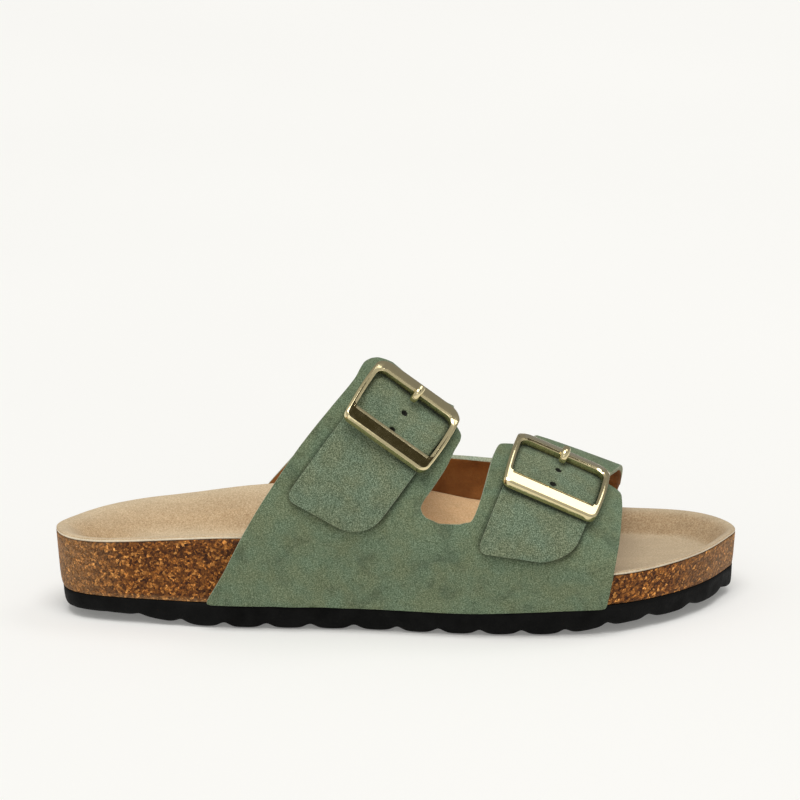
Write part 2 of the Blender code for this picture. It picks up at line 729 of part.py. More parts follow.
def make_buckle(seat, finish):
    """Cast frame: wide flat low bar, slim bowed sides and a wide, sloped top bar, bent over the strap."""
    half = BUCKLE_LENGTH / 2
    tall = BUCKLE_HEIGHT / 2
    outer = rounded_loop(-half, half, -tall, tall, 0.0, SIDE_BOW)
    window = (-half + SIDE_BAR, half - SIDE_BAR, -tall + LOW_BAR, tall - TOP_BAR)
    inner = rounded_loop(*window, SIDE_BAR, SIDE_BOW)
    bow = buckle_bow(seat)
    rings = []
    for share, height in BAR_PROFILE:
        ring = []
        for a, b in zip(inner, outer):
            p = a[0] + (b[0] - a[0]) * share
            q = a[1] + (b[1] - a[1]) * share
            slope = 1 - TOP_SLOPE * share * smooth_step(q / tall)
            ring.append(seat.place(p, q, bow(q) + height * BUCKLE_THICK * slope))
        rings.append(ring)
    return add_object("buckle_" + seat.strap.name, skin(rings + rings[:1], False), finish)


def make_prong(seat, finish):
    """Round pin that rises out of the strap and lies over the buckle's top bar."""
    bow = buckle_bow(seat)
    tall = BUCKLE_HEIGHT / 2
    inside = tall - TOP_BAR
    start = inside - PRONG_REACH
    ride = BUCKLE_THICK + PRONG_CLEAR + PRONG_RADIUS
    foot = max(seat.surface_height(p, start) for p in (-PRONG_RADIUS, 0.0, PRONG_RADIUS))
    foot += GAP + PRONG_RADIUS
    tip = inside + PRONG_TIP
    marks = (start, inside - PRONG_RADIUS, inside + PRONG_TIP / 2, tip)
    levels = (foot, bow(inside) + ride, bow(inside + PRONG_TIP / 2) + ride, bow(tip) + ride)
    heights = smooth_curve(marks, levels)
    rings = []
    stops = np.linspace(start, tip, PRONG_STOPS)
    for k, q in enumerate(stops):
        slope = (heights(q + GAP) - heights(q - GAP)) / (2 * GAP)
        radius = PRONG_RADIUS * (PRONG_END if k in (0, len(stops) - 1) else 1.0)
        ring = []
        for step in range(PRONG_SIDES):
            angle = 2 * math.pi * step / PRONG_SIDES
            lift = radius * math.sin(angle)
            ring.append(seat.place(radius * math.cos(angle), q - lift * slope / 2, heights(q) + lift))
        rings.append(ring)
    return add_object("prong_" + seat.strap.name, skin(rings, True), finish)


def main():
    for old in list(bpy.data.objects):
        bpy.data.objects.remove(old)
    suede = material("sage_suede", 0.95)
    gold = material("pale_gold", 0.2, 1.0)
    seats = [Seat(strap) for strap in STRAPS]
    pieces = [
        make_outsole(material("black_rubber", 0.7)),
        make_footbed(material("cork", 0.85)),
        make_insole(material("beige_suede", 0.95)),
        make_upper(seats, suede),
    ]
    for seat in seats:
        pieces += [make_strap_end(seat, suede), make_buckle(seat, gold), make_prong(seat, gold)]
    shoe = bpy.data.objects.new("shoe", None)
    bpy.context.scene.collection.objects.link(shoe)
    for piece in pieces:
        piece.parent = shoe


main()
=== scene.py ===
# %% [markdown]
# # A suede mule on a cork footbed
# This lesson dresses a packed CAD shoe: it gives the sole, cork, insole, suede and buckles the
# rounding, grain and gloss of the real ones. The CAD model is the frame. It is never moved, and a
# finer piece that stands for one of its nodes keeps that node's form and place.

# %% Load the packed shoe
import math

import bmesh
import bpy
import numpy as np
from mathutils import Matrix, Vector
from mathutils.bvhtree import BVHTree


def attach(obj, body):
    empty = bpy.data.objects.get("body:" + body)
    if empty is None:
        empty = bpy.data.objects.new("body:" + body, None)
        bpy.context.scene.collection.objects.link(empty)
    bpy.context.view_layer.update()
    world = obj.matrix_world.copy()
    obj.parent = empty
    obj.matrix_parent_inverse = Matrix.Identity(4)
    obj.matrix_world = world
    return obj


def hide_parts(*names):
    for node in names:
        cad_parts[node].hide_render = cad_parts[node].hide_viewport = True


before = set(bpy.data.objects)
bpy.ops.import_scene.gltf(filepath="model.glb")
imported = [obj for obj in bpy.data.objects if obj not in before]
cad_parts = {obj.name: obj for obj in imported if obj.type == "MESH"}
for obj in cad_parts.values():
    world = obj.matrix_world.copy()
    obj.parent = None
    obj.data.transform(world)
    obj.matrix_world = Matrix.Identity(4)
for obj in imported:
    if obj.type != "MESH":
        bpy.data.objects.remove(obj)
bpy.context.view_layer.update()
MM = 0.001
print("nodes:", ", ".join(sorted(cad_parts)))

# %% [markdown]
# ## Camera
# A product photograph of a shoe is taken from far away with a long lens, so that the heel and the toe
# keep their proportions. The camera stands 1.5 m off, looks 15 degrees down at the outer side, and its
# lens is worked out from how many pixels one metre of the shoe covers.

# %% Place the camera
PICTURE_WIDTH = 800
PIXELS_PER_METRE = 2662.0
CAMERA_DISTANCE = 1.5
CAMERA_DROP = math.radians(15.0)
AIM = Vector((0.7 * MM, 1.3 * MM, 79.2 * MM))

lens = bpy.data.cameras.new("camera")
lens.sensor_width = 36.0
lens.lens = PIXELS_PER_METRE * CAMERA_DISTANCE / PICTURE_WIDTH * lens.sensor_width
camera = bpy.data.objects.new("camera", lens)
camera.location = AIM + CAMERA_DISTANCE * Vector((0, -math.cos(CAMERA_DROP), math.sin(CAMERA_DROP)))
camera.rotation_euler = (math.pi / 2 - CAMERA_DROP, 0, 0)
bpy.context.scene.collection.objects.link(camera)
bpy.context.scene.camera = camera
print("lens:", round(lens.lens, 1), "mm")

# %% [markdown]
# ## Colours
# A shader takes linear colours, but people read them as everyday values from 0 to 255. One function
# turns the second kind into the first. A grey is used as a share that another colour is multiplied by.

# %% Colours
def linear(red, green, blue):
    """Turn an everyday 0 to 255 colour into the linear one that a shader takes."""
    shares = [value / 255 for value in (red, green, blue)]
    return tuple(s / 12.92 if s <= 0.04045 else ((s + 0.055) / 1.055) ** 2.4 for s in shares) + (1.0,)


def grey(share):
    """A grey that multiplies another colour by a share."""
    return (share, share, share, 1.0)


print("an everyday 128 is", round(linear(128, 128, 128)[0], 3), "to a shader")

# %% [markdown]
# ## Nodes in short calls
# Nodes could be added and linked one by one, which takes many lines. A small class keeps the calls
# short: it adds a node, links it, and hands back the socket that the next node needs.

# %% Node helper
class Nodes:
    """A node tree with short calls for its nodes."""

    def __init__(self, tree, coordinates):
        self.tree = tree
        self.place = self.node("TexCoord").outputs[coordinates]

    def node(self, kind, inputs=None, **settings):
        """Add a node and fill its inputs with values or with other nodes' sockets."""
        made = self.tree.nodes.new("ShaderNode" + kind)
        for key, value in settings.items():
            setattr(made, key, value)
        for key, value in (inputs or {}).items():
            if isinstance(value, bpy.types.NodeSocket):
                self.tree.links.new(value, made.inputs[key])
            else:
                made.inputs[key].default_value = value
        return made

    def axis(self, name):
        """How far along one axis a point lies."""
        return self.node("SeparateXYZ", {"Vector": self.place}).outputs[name]

    def maths(self, how, first, second=0.0):
        return self.node("Math", {0: first, 1: second}, operation=how).outputs["Value"]

    def span(self, value, start, end, low=0.0, high=1.0):
        """Go from low to high while a value goes from start to end."""
        inputs = {"Value": value, "From Min": start, "From Max": end, "To Min": low, "To Max": high}
        return self.node("MapRange", inputs).outputs["Result"]

    def ramp(self, factor, stops, smooth=False):
        """Colours along a factor, each stop a position and a colour."""
        made = self.node("ValToRGB", {"Fac": factor})
        made.color_ramp.interpolation = "EASE" if smooth else "LINEAR"
        points = made.color_ramp.elements
        while len(points) < len(stops):
            points.new(0.5)
        for point, (where, colour) in zip(points, stops):
            point.position = where
            point.color = colour
        return made.outputs["Color"]

    def tones(self, factor, stops):
        """A ramp of everyday colours."""
        return self.ramp(factor, [(where, linear(*colour)) for where, colour in stops])

    def shares(self, factor, stops, smooth=False):
        """A ramp of greys."""
        return self.ramp(factor, [(where, grey(share)) for where, share in stops], smooth)

    def mix(self, factor, first, second, blend="MIX"):
        inputs = {"Fac": factor, "Color1": first, "Color2": second}
        return self.node("MixRGB", inputs, blend_type=blend).outputs["Color"]

    def times(self, first, *others):
        """Multiply colours, one after the other."""
        for other in others:
            first = self.mix(1.0, first, other, "MULTIPLY")
        return first


print("short calls:", ", ".join(name for name in vars(Nodes) if not name.startswith("_")))

# %% [markdown]
# ## What a finish adds
# Every finish here is a Principled shader fed by procedural nodes that read Object coordinates, so the
# grain has a real size in metres and needs no picture. Noise gives soft patches, cells give grains, and
# a bump has a real depth. What is the same all over the surface is set on the shader's own sockets.

# %% Finish helper
class Finish(Nodes):
    """A material whose shader is fed by nodes on Object coordinates."""

    def __init__(self, name, roughness, metallic=0.0):
        self.material = bpy.data.materials.new(name)
        self.material.use_nodes = True
        super().__init__(self.material.node_tree, "Object")
        self.shader = self.tree.nodes["Principled BSDF"]
        self.fix({"Roughness": roughness, "Metallic": metallic})

    def fix(self, values):
        """Set what is the same all over the surface."""
        for key, value in values.items():
            self.shader.inputs[key].default_value = value

    def use(self, colour=None, normal=None, roughness=None):
        """Feed the shader."""
        for key, value in (("Base Color", colour), ("Normal", normal), ("Roughness", roughness)):
            if value is not None:
                self.tree.links.new(value, self.shader.inputs[key])

    def stretched(self, x, y, z):
        """Object coordinates squeezed or stretched along the axes."""
        return self.node("Mapping", {"Vector": self.place, "Scale": (x, y, z)}).outputs["Vector"]

    def noise(self, size, detail=2.0, rough=0.5, place=None, twist=0.0):
        """Soft noise whose patches are about one size across, in metres."""
        inputs = {"Vector": place or self.place, "Scale": 1 / size, "Detail": detail}
        inputs.update({"Roughness": rough, "Distortion": twist})
        return self.node("TexNoise", inputs).outputs["Fac"]

    def cells(self, size, output, place=None, feature="F1"):
        """Cells like grains, about one size across."""
        inputs = {"Vector": place or self.place, "Scale": 1 / size}
        return self.node("TexVoronoi", inputs, feature=feature).outputs[output]

    def lots(self, size, channel, place):
        """One chance value for each cell."""
        colour = self.cells(size, "Color", place)
        return self.node("SeparateColor", {"Color": colour}).outputs[channel]

    def bump(self, height, depth, under=None):
        """Raise the surface by a depth in metres, on top of another bump if one is given."""
        inputs = {"Height": height, "Strength": 1.0, "Distance": depth}
        if under is not None:
            inputs["Normal"] = under
        return self.node("Bump", inputs).outputs["Normal"]


print("finishes read Object coordinates, in metres")

# %% [markdown]
# ## Sage suede
# Suede is leather with its fibres brushed up. It has no gloss, a fine speckle where fibres lie in
# different ways, and wide soft patches where the nap was stroked. Two noises make the speckle and the
# patches, a fine bump breaks the light, and a little sheen gives the pale bloom at grazing angles.
# The nap also turns between a cooler and a warmer green. Shade is painted into its colour in the narrow
# corners where another piece lies on it, which the ambient occlusion node finds.
# The cut edge shows the fibres end on, so it is a paler finish of its own, made paler still as a painted
# highlight along the cut edges.

# %% Sage suede and its cut edge
NAP_GRAIN = 0.42 * MM
NAP_FIBRE = 0.5 * MM
STROKE_PATCH = 12 * MM
STROKE_DEPTH = 0.4 * MM
HUE_PATCH = 8 * MM
COOLER = (0.94, 1.01, 1.04, 1.0)
WARMER = (1.04, 1.0, 0.95, 1.0)
PAINTED_SHADE_REACH = 3 * MM
PAINTED_SHADE_RAYS = 8


def suede(name, low, middle, high, nap_depth, stroke):
    """Napped leather of three tones, with a depth of nap and a share left where it was stroked dark."""
    made = Finish(name, 0.95)
    speckle = made.noise(NAP_GRAIN, 2.0, 0.6)
    patches = made.noise(STROKE_PATCH, 4.0, 0.62, twist=0.8)
    tone = made.tones(speckle, [(0.3, low), (0.5, middle), (0.7, high)])
    stroked = made.shares(patches, [(0.32, stroke), (0.5, 0.97), (0.68, 1.0)], smooth=True)
    hue = made.ramp(made.noise(HUE_PATCH), [(0.35, COOLER), (0.65, WARMER)])
    # Painted shade: the ambient occlusion node darkens the colour in corners where another piece lies
    # close.
    openness = made.node("AmbientOcclusion", {"Distance": PAINTED_SHADE_REACH}, samples=PAINTED_SHADE_RAYS).outputs["AO"]
    corners = made.shares(openness, [(0.45, 0.4), (0.9, 1.0)])
    fibres = made.noise(NAP_FIBRE, 2.0, 0.7)
    normal = made.bump(fibres, nap_depth, made.bump(patches, STROKE_DEPTH))
    made.use(made.times(tone, stroked, hue, corners), normal)
    made.fix({"Sheen Weight": 0.2, "Sheen Roughness": 0.45, "Sheen Tint": linear(205, 214, 190)})
    made.fix({"Specular IOR Level": 0.15})
    return made


SAGE_SUEDE = suede("sage_suede", (73, 85, 64), (105, 118, 92), (137, 149, 122), 0.22 * MM, 0.72)
STRAP_SUEDE = suede("sage_suede_strap", (64, 76, 57), (106, 118, 94), (149, 160, 134), 0.3 * MM, 0.82)
# Cut edge: paler partly for its own end-on fibres and partly as a painted highlight.
SAGE_EDGE_AND_HIGHLIGHT = suede("sage_cut_edge_and_highlight", (122, 130, 108), (160, 166, 142), (194, 198, 176), 0.2 * MM, 0.9)
print("suede finishes:", SAGE_SUEDE.material.name, STRAP_SUEDE.material.name, SAGE_EDGE_AND_HIGHLIGHT.material.name)

# %% [markdown]
# ## Brown lining
# The inside of the straps is a thin brown leather, smoother than the suede. Its pores are small cells,
# and slow noise makes it uneven, as a hide is.

# %% Brown lining
HIDE_PATCH = 9 * MM
PORE = 0.8 * MM
PORE_DEPTH = 0.12 * MM


def lining():
    """Smooth brown leather with pores."""
    made = Finish("brown_lining", 0.62)
    colour = made.tones(made.noise(HIDE_PATCH, 4.0, 0.6), [(0.25, (122, 75, 33)), (0.75, (166, 110, 57))])
    made.use(colour, made.bump(made.cells(PORE, "Distance"), PORE_DEPTH))
    made.fix({"Specular IOR Level": 0.3})
    return made


BROWN_LINING = lining()
print("lining:", BROWN_LINING.material.name)

# %% [markdown]
# ## Pressed cork
# Cork for footbeds is ground bark pressed with latex. Its grains are about 1 mm across and go from dark
# brown to orange tan, with tiny pale and dark flecks between them. Voronoi cells give every grain one
# colour of its own, a second, smaller set gives the flecks, and the sealed skin has a faint gloss.
# Light is painted on its skin: it is paler round the heel and the toe as a painted highlight where light
# grazes them, and along the rounded base as painted light thrown up from the pale floor.

# %% Cork finish
CORK_GRAIN = 0.95 * MM
CORK_FLECK = 0.52 * MM
CORK_STIR = 1.5 * MM
STIR_SHARE = 0.0016
CORK_DRIFT = 9 * MM
PAINTED_HIGHLIGHT_ENDS = (100 * MM, 127 * MM)
PAINTED_FLOOR_LIGHT_BASE = (12.6 * MM, 10.6 * MM)
FLECK_DEPTH = 0.1 * MM
PIT_DEPTH = 0.08 * MM


def cork():
    """Pressed grains with flecks, pits between them, and painted light at the ends and the base."""
    made = Finish("pressed_cork", 0.6)
    bent = made.mix(STIR_SHARE, made.place, made.noise(CORK_STIR, 2.0, 0.6), "ADD")
    body = made.tones(made.lots(CORK_GRAIN, "Red", bent), [
        (0.0, (60, 29, 9)),
        (0.35, (98, 55, 18)),
        (0.68, (130, 78, 29)),
        (0.88, (172, 109, 47)),
        (1.0, (214, 147, 74)),
    ])
    fleck = made.lots(CORK_FLECK, "Green", bent)
    flecks = made.shares(fleck, [(0.0, 0.42), (0.2, 0.84), (0.74, 1.0), (0.86, 1.55), (1.0, 2.3)])
    drift = made.shares(made.noise(CORK_DRIFT), [(0.3, 0.86), (0.7, 1.06)])
    # Painted light: the ends get a painted highlight and the base painted floor light, in a pale speckled
    # tone.
    ends = made.span(made.maths("ABSOLUTE", made.axis("X")), *PAINTED_HIGHLIGHT_ENDS, high=0.4)
    base = made.span(made.axis("Z"), *PAINTED_FLOOR_LIGHT_BASE, high=0.35)
    painted_light_tone = made.tones(fleck, [(0.2, (150, 108, 66)), (0.8, (204, 168, 122))])
    colour = made.mix(made.maths("MAXIMUM", ends, base), made.times(body, flecks, drift), painted_light_tone)
    seams = made.cells(CORK_GRAIN, "Distance", bent, "DISTANCE_TO_EDGE")
    pits = made.shares(seams, [(0.0, 0.0), (0.12, 1.0)])
    made.use(colour, made.bump(fleck, FLECK_DEPTH, made.bump(pits, PIT_DEPTH)))
    made.fix({"Specular IOR Level": 0.2})
    return made


PRESSED_CORK = cork()
print("cork:", PRESSED_CORK.material.name)

# %% [markdown]
# ## Insole suede
# The insole is a pale split leather. It is fuzzier and more even than the upper, with long faint
# streaks, so one of its noises is stretched along the foot. Shade is painted on it where it climbs the
# bank of the cork: it is darker there, and more mottled. It is paler on its rim. Under the straps, where
# light comes in only through the slot, light is painted on it, so it is warmer and brighter there. It
# goes darker towards the toes. The mesh itself carries how steep it is at each point, and the finish reads
# that attribute.

# %% Insole finish
INSOLE_GRAIN = 0.6 * MM
INSOLE_FIBRE = 0.5 * MM
INSOLE_NAP = 0.2 * MM
STREAK = 5 * MM
STREAK_STRETCH = 0.25
SHADED_BANK_STEEP = (0.08, 0.3)
RIM_STEEP = (0.55, 0.8)
SLOT_LIGHT_MIDDLE = 24 * MM
SLOT_LIGHT_REACH = (42 * MM, 24 * MM)
TOE_DARKER_SPAN = (60 * MM, 90 * MM)


def insole_suede():
    """Pale suede with painted shade on the bank, a paler rim, painted light under the straps and a darker
    toe end.
    """
    made = Finish("beige_suede", 0.95)
    fine = made.noise(INSOLE_GRAIN, 3.0, 0.7)
    flat = made.tones(fine, [(0.3, (188, 166, 134)), (0.5, (207, 185, 152)), (0.7, (224, 204, 172))])
    # Painted shade: where the insole climbs the bank it gets a darker tone.
    shaded_bank = made.tones(fine, [(0.3, (164, 134, 98)), (0.5, (196, 168, 131)), (0.7, (220, 195, 159))])
    # Painted light: under the straps, lit only through the slot, the insole gets a warmer, brighter tone.
    painted_slot_light = made.tones(fine, [(0.3, (222, 178, 126)), (0.7, (250, 216, 170))])
    rim = made.tones(fine, [(0.3, (226, 206, 174)), (0.7, (246, 234, 210))])
    steep = made.node("Attribute", attribute_name="steep").outputs["Fac"]
    along = made.axis("X")
    away = made.maths("ABSOLUTE", made.maths("SUBTRACT", along, SLOT_LIGHT_MIDDLE))
    tone = made.mix(made.span(steep, *SHADED_BANK_STEEP), flat, shaded_bank)
    tone = made.mix(made.span(away, *SLOT_LIGHT_REACH), tone, painted_slot_light)
    tone = made.mix(made.span(steep, *RIM_STEEP), tone, rim)
    streaks = made.noise(STREAK, 3.0, 0.6, made.stretched(STREAK_STRETCH, 1.0, 1.0))
    drift = made.shares(streaks, [(0.3, 0.9), (0.7, 1.0)], smooth=True)
    # The insole goes darker towards the toes.
    toward_toes_darker = made.span(along, *TOE_DARKER_SPAN, 1.0, 0.86)
    fibres = made.noise(INSOLE_FIBRE, 2.0, 0.7)
    made.use(made.times(tone, drift, toward_toes_darker), made.bump(fibres, INSOLE_NAP))
    made.fix({"Sheen Weight": 0.1, "Sheen Roughness": 0.5, "Specular IOR Level": 0.15})
    return made


BEIGE_SUEDE = insole_suede()
print("insole:", BEIGE_SUEDE.material.name)

# %% [markdown]
# ## Black sole
# The sole is foamed rubber: nearly black, dull, with a fine pebbled skin from its mould.

# %% Sole finish
PEBBLE = 0.8 * MM
PEBBLE_DEPTH = 0.15 * MM
DULL_PATCH = 6 * MM


def sole_rubber():
    """Black rubber with pebbles and duller patches."""
    made = Finish("black_rubber", 0.7)
    pebbles = made.noise(PEBBLE, 3.0, 0.6)
    tone = made.tones(pebbles, [(0.3, (1, 1, 1)), (0.7, (5, 5, 4))])
    rough = made.shares(made.noise(DULL_PATCH), [(0.3, 0.6), (0.7, 0.82)])
    made.use(tone, made.bump(pebbles, PEBBLE_DEPTH), rough)
    made.fix({"Specular IOR Level": 0.15})
    return made


BLACK_RUBBER = sole_rubber()
print("sole:", BLACK_RUBBER.material.name)

# %% [markdown]
# ## Polished pale gold
# The buckles are cast, polished and plated. Plating is a metal, so its colour comes from what it
# reflects. A very low bump of slow noise makes the reflections swim a little, as on a cast part.
# The inside of a punched hole gets painted shade, a small dark finish of its own.

# %% Gold finish and the painted shade of a punched hole
CAST_WAVE = 4 * MM
WAVE_DEPTH = 0.06 * MM
POLISH_PATCH = 2.4 * MM


def plated_gold():
    """Polished plating over a cast surface."""
    made = Finish("pale_gold", 0.13, 1.0)
    made.fix({"Base Color": linear(226, 211, 166)})
    rough = made.shares(made.noise(POLISH_PATCH), [(0.35, 0.09), (0.7, 0.15)])
    made.use(normal=made.bump(made.noise(CAST_WAVE), WAVE_DEPTH), roughness=rough)
    return made


def hole_dark():
    """Fibres in the shade of a hole."""
    made = Finish("hole_shade", 0.9)
    made.use(made.tones(made.noise(NAP_FIBRE), [(0.3, (24, 26, 18)), (0.7, (44, 46, 34))]))
    return made


PALE_GOLD = plated_gold()
HOLE_SHADE = hole_dark()
print("metal and hole:", PALE_GOLD.material.name, HOLE_SHADE.material.name)

# %% [markdown]
# ## From CAD node to finer piece
# A CAD node is a net of loose triangles with hard edges. A finer piece starts from a merged copy of it
# whose triangles are joined into quads, because a subdivision surface rounds quads evenly.

# %% Copy a CAD node
MERGE_DISTANCE = 0.01 * MM
JOIN_ANGLE = math.radians(40)


def copy_of(node):
    """Merged copy of a CAD node's mesh, with its triangles joined into quads."""
    made = bmesh.new()
    made.from_mesh(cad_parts[node].data)
    bmesh.ops.remove_doubles(made, verts=made.verts, dist=MERGE_DISTANCE)
    bmesh.ops.join_triangles(made, faces=made.faces, angle_face_threshold=JOIN_ANGLE,
                             angle_shape_threshold=math.pi)
    return made


print("CAD triangles:", sum(len(node.data.polygons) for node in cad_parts.values()))

# %% [markdown]
# ## Which edges stay
# Rounding would melt the corners of a moulded sole and the border of a cut sheet. A crease holds an edge
# in its place while its line is still smoothed. A small bevel afterwards lets a cut edge catch the light.

# %% Crease and bevel edges
CUT_ANGLE = 50
CUT_ROUND = 0.4 * MM


def hard_edges(made, angle):
    """Edges where the surface turns by more than an angle, in degrees."""
    limit = math.radians(angle)
    return [edge for edge in made.edges if edge.is_manifold and edge.calc_face_angle() > limit]


def keep_edges(made, angle):
    """Crease the hard edges, so that rounding smooths their line and not their corner."""
    crease = made.edges.layers.float.new("crease_edge")
    for edge in hard_edges(made, angle):
        edge[crease] = 1.0


def keep_borders(made):
    """Crease the lines where two finishes meet, so that a cut edge runs in a smooth curve."""
    crease = made.edges.layers.float.new("crease_edge")
    for edge in made.edges:
        if len({face.material_index for face in edge.link_faces}) > 1:
            edge[crease] = 1.0


def soften_edges(made):
    """Bevel the hard edges of a cut sheet."""
    bmesh.ops.bevel(made, geom=hard_edges(made, CUT_ANGLE), offset=CUT_ROUND, offset_type="OFFSET",
                    affect="EDGES", segments=2, profile=0.5, material=-1, clamp_overlap=True)


print("cut edges are softened by", round(CUT_ROUND / MM, 2), "mm")

# %% [markdown]
# ## Rounding and placing
# The Subdivision Surface modifier rounds the copy, and its result is read back as a mesh, so that holes
# and ripples can be worked into the fine surface. A finished piece then hides the CAD node it stands
# for, rides on the root body and gets its materials in its slots.

# %% Round and place a piece
def halve(made):
    """Cut every face in four, so that rounding stays close to the CAD form."""
    bmesh.ops.subdivide_edges(made, edges=made.edges[:], cuts=1, use_grid_fill=True)


def rounded(made, levels):
    """Round a coarse cage with a subdivision surface and hand back the fine mesh."""
    cage = bpy.data.meshes.new("cage")
    made.to_mesh(cage)
    made.free()
    holder = bpy.data.objects.new("cage", cage)
    bpy.context.scene.collection.objects.link(holder)
    rounding = holder.modifiers.new("rounding", "SUBSURF")
    rounding.levels = levels
    rounding.render_levels = levels
    whole = holder.evaluated_get(bpy.context.evaluated_depsgraph_get())
    fine = bmesh.new()
    fine.from_mesh(whole.to_mesh())
    bpy.data.objects.remove(holder)
    bpy.data.meshes.remove(cage)
    return fine


def put(name, made, node, finishes, sharp=None):
    """Turn a bmesh into a piece that stands for a CAD node."""
    mesh = bpy.data.meshes.new(name)
    made.to_mesh(mesh)
    made.free()
    mesh.shade_smooth()
    if sharp:
        mesh.set_sharp_from_angle(angle=math.radians(sharp))
    for finish in finishes:
        mesh.materials.append(finish.material)
    piece = bpy.data.objects.new(name, mesh)
    bpy.context.scene.collection.objects.link(piece)
    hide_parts(node)
    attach(piece, "root")
    print(name, "faces:", len(mesh.polygons))
    return piece


# %% [markdown]
# ## Sole, cork and insole
# The three layers under the foot keep their CAD form. The sole's lobes and the insole's lip come out
# round from the subdivision surface, and the cork gets its grain. The glued insole has no gap over the
# cork, so the underside of its copy is let down onto it. The insole also notes how steep it is.

# %% Layers under the foot
SOLE_CORNER = 80
CORK_CORNER = 60
LIP_DROP = 0.28 * MM
FACING_DOWN = -0.2

sole = copy_of("outsole")
keep_edges(sole, SOLE_CORNER)
put("sole_moulded", rounded(sole, 2), "outsole", [BLACK_RUBBER])

bed = copy_of("footbed")
keep_edges(bed, CORK_CORNER)
put("footbed_cork", rounded(bed, 2), "footbed", [PRESSED_CORK])

insole = rounded(copy_of("insole"), 2)
insole.normal_update()
steep = insole.verts.layers.float.new("steep")
for vert in insole.verts:
    vert[steep] = 1 - vert.normal.z
    if vert.normal.z < FACING_DOWN:
        vert.co.z -= LIP_DROP
put("insole_suede", insole, "insole", [BEIGE_SUEDE])

# %% [markdown]
# ## Which side is which
# A sheet of leather has three kinds of face: suede outside, lining inside and the cut edge between
# them. A ray sent into the sheet from a face comes out after one wall's thickness, unless the face is
# the cut edge, where it runs along the sheet. The ray starts a little under the face, because a quad on
# a curved sheet is not quite flat. The direction away from the foot parts outside from inside.

# %% Sort the faces of a leather sheet
SUEDE, LINING, EDGE = 0, 1, 2
RAY_START = 0.3 * MM
THICKEST_WALL = 3.2 * MM


def sort_faces(made, heart):
    """Give each face of a sheet its finish: outside, inside or cut edge."""
    made.normal_update()
    tree = BVHTree.FromBMesh(made)
    for face in made.faces:
        middle = face.calc_center_median()
        found = tree.ray_cast(middle - face.normal * RAY_START, -face.normal)
        away = middle - heart
        away.x = 0
        if found[3] is None or found[3] + RAY_START > THICKEST_WALL:
            face.material_index = EDGE
        else:
            face.material_index = SUEDE if face.normal.dot(away) > 0 else LINING
    counts = [sum(face.material_index == kind for face in made.faces) for kind in (SUEDE, LINING, EDGE)]
    print("outside, inside and edge faces:", counts)


def leather_sheet(node, heart):
    """Rounded copy of a leather node, with its faces sorted round a point inside the foot."""
    made = copy_of(node)
    sort_faces(made, heart)
    halve(made)
    keep_borders(made)
    return rounded(made, 1)


# %% [markdown]
# ## The upper
# One wall of suede makes both quarters and both straps. The copy keeps the CAD's hollow form, its cut
# edges are rounded, and the soft ripples that the leather shows low on the outer quarter are placed one
# by one: each is a trough or a ridge along a short line, with a width and a depth, in millimetres.

# %% Upper with its ripples
RIPPLES = [
    {"x": -42, "z": 22, "lean": 65, "long": 16, "wide": 4.5, "depth": -0.70},
    {"x": -33, "z": 23, "lean": 62, "long": 17, "wide": 4.5, "depth": 0.65},
    {"x": -24, "z": 21, "lean": 58, "long": 15, "wide": 5.0, "depth": -0.75},
    {"x": -14, "z": 22, "lean": 60, "long": 16, "wide": 5.0, "depth": 0.55},
    {"x": 20, "z": 18, "lean": 25, "long": 22, "wide": 6.0, "depth": -0.40},
    {"x": 52, "z": 20, "lean": 100, "long": 14, "wide": 6.0, "depth": 0.35},
]
QUARTER_SIDE = -20 * MM
QUARTER_TOP = 45 * MM
FOOT_HEART = Vector((0, 0, 30 * MM))


def ripple_height(at, ripple):
    """Height of one ripple at a point, in millimetres."""
    lean = math.radians(ripple["lean"])
    dx = at.x / MM - ripple["x"]
    dz = at.z / MM - ripple["z"]
    along = dx * math.cos(lean) + dz * math.sin(lean)
    across = dz * math.cos(lean) - dx * math.sin(lean)
    return ripple["depth"] * math.exp(-(along / ripple["long"]) ** 2 - (across / ripple["wide"]) ** 2)


def press_ripples(made):
    """Push the outer quarter in and out along the ripples."""
    quarter = [vert for vert in made.verts if vert.co.y < QUARTER_SIDE and vert.co.z < QUARTER_TOP]
    for vert in quarter:
        vert.co.y -= sum(ripple_height(vert.co, ripple) for ripple in RIPPLES) * MM
    print("rippled points:", len(quarter))


upper = leather_sheet("upper", FOOT_HEART)
soften_edges(upper)
press_ripples(upper)
put("upper_suede", upper, "upper", [SAGE_SUEDE, BROWN_LINING, SAGE_EDGE_AND_HIGHLIGHT])

# %% [markdown]
# ## Lie of a buckle
# Each buckle lies flat on its strap, so its own directions are wanted: along the bars, up the strap
# and outwards. The spread of the CAD buckle's points gives them, longest first, and a parabola through
# the points gives its bend.

# %% Directions of a buckle
def lie_of(node):
    """Place of a CAD buckle, turned along the bars, up the strap and outwards, and its bend."""
    points = np.array([vert.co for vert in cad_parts[node].data.vertices])
    spread = np.linalg.eigh(np.cov(points.T))[1]
    bar = spread[:, 2] * np.sign(spread[0, 2])
    out = spread[:, 0] * -np.sign(spread[1, 0])
    ways = np.column_stack([bar, np.cross(out, bar), out])
    turned = points @ ways
    centre = (turned.min(0) + turned.max(0)) / 2
    bend = np.polyfit(turned[:, 1] - centre[1], turned[:, 2] - centre[2], 2)
    place = Matrix.Identity(4)
    for column, way in enumerate([*ways.T, ways @ centre]):
        for row in range(3):
            place[row][column] = way[row]
    return {"place": place, "bend": bend}


LIES = {name: lie_of("buckle_" + name) for name in ("rear", "front")}
for name, lie in LIES.items():
    print(name, "buckle stands at", [round(c / MM, 1) for c in lie["place"].translation])

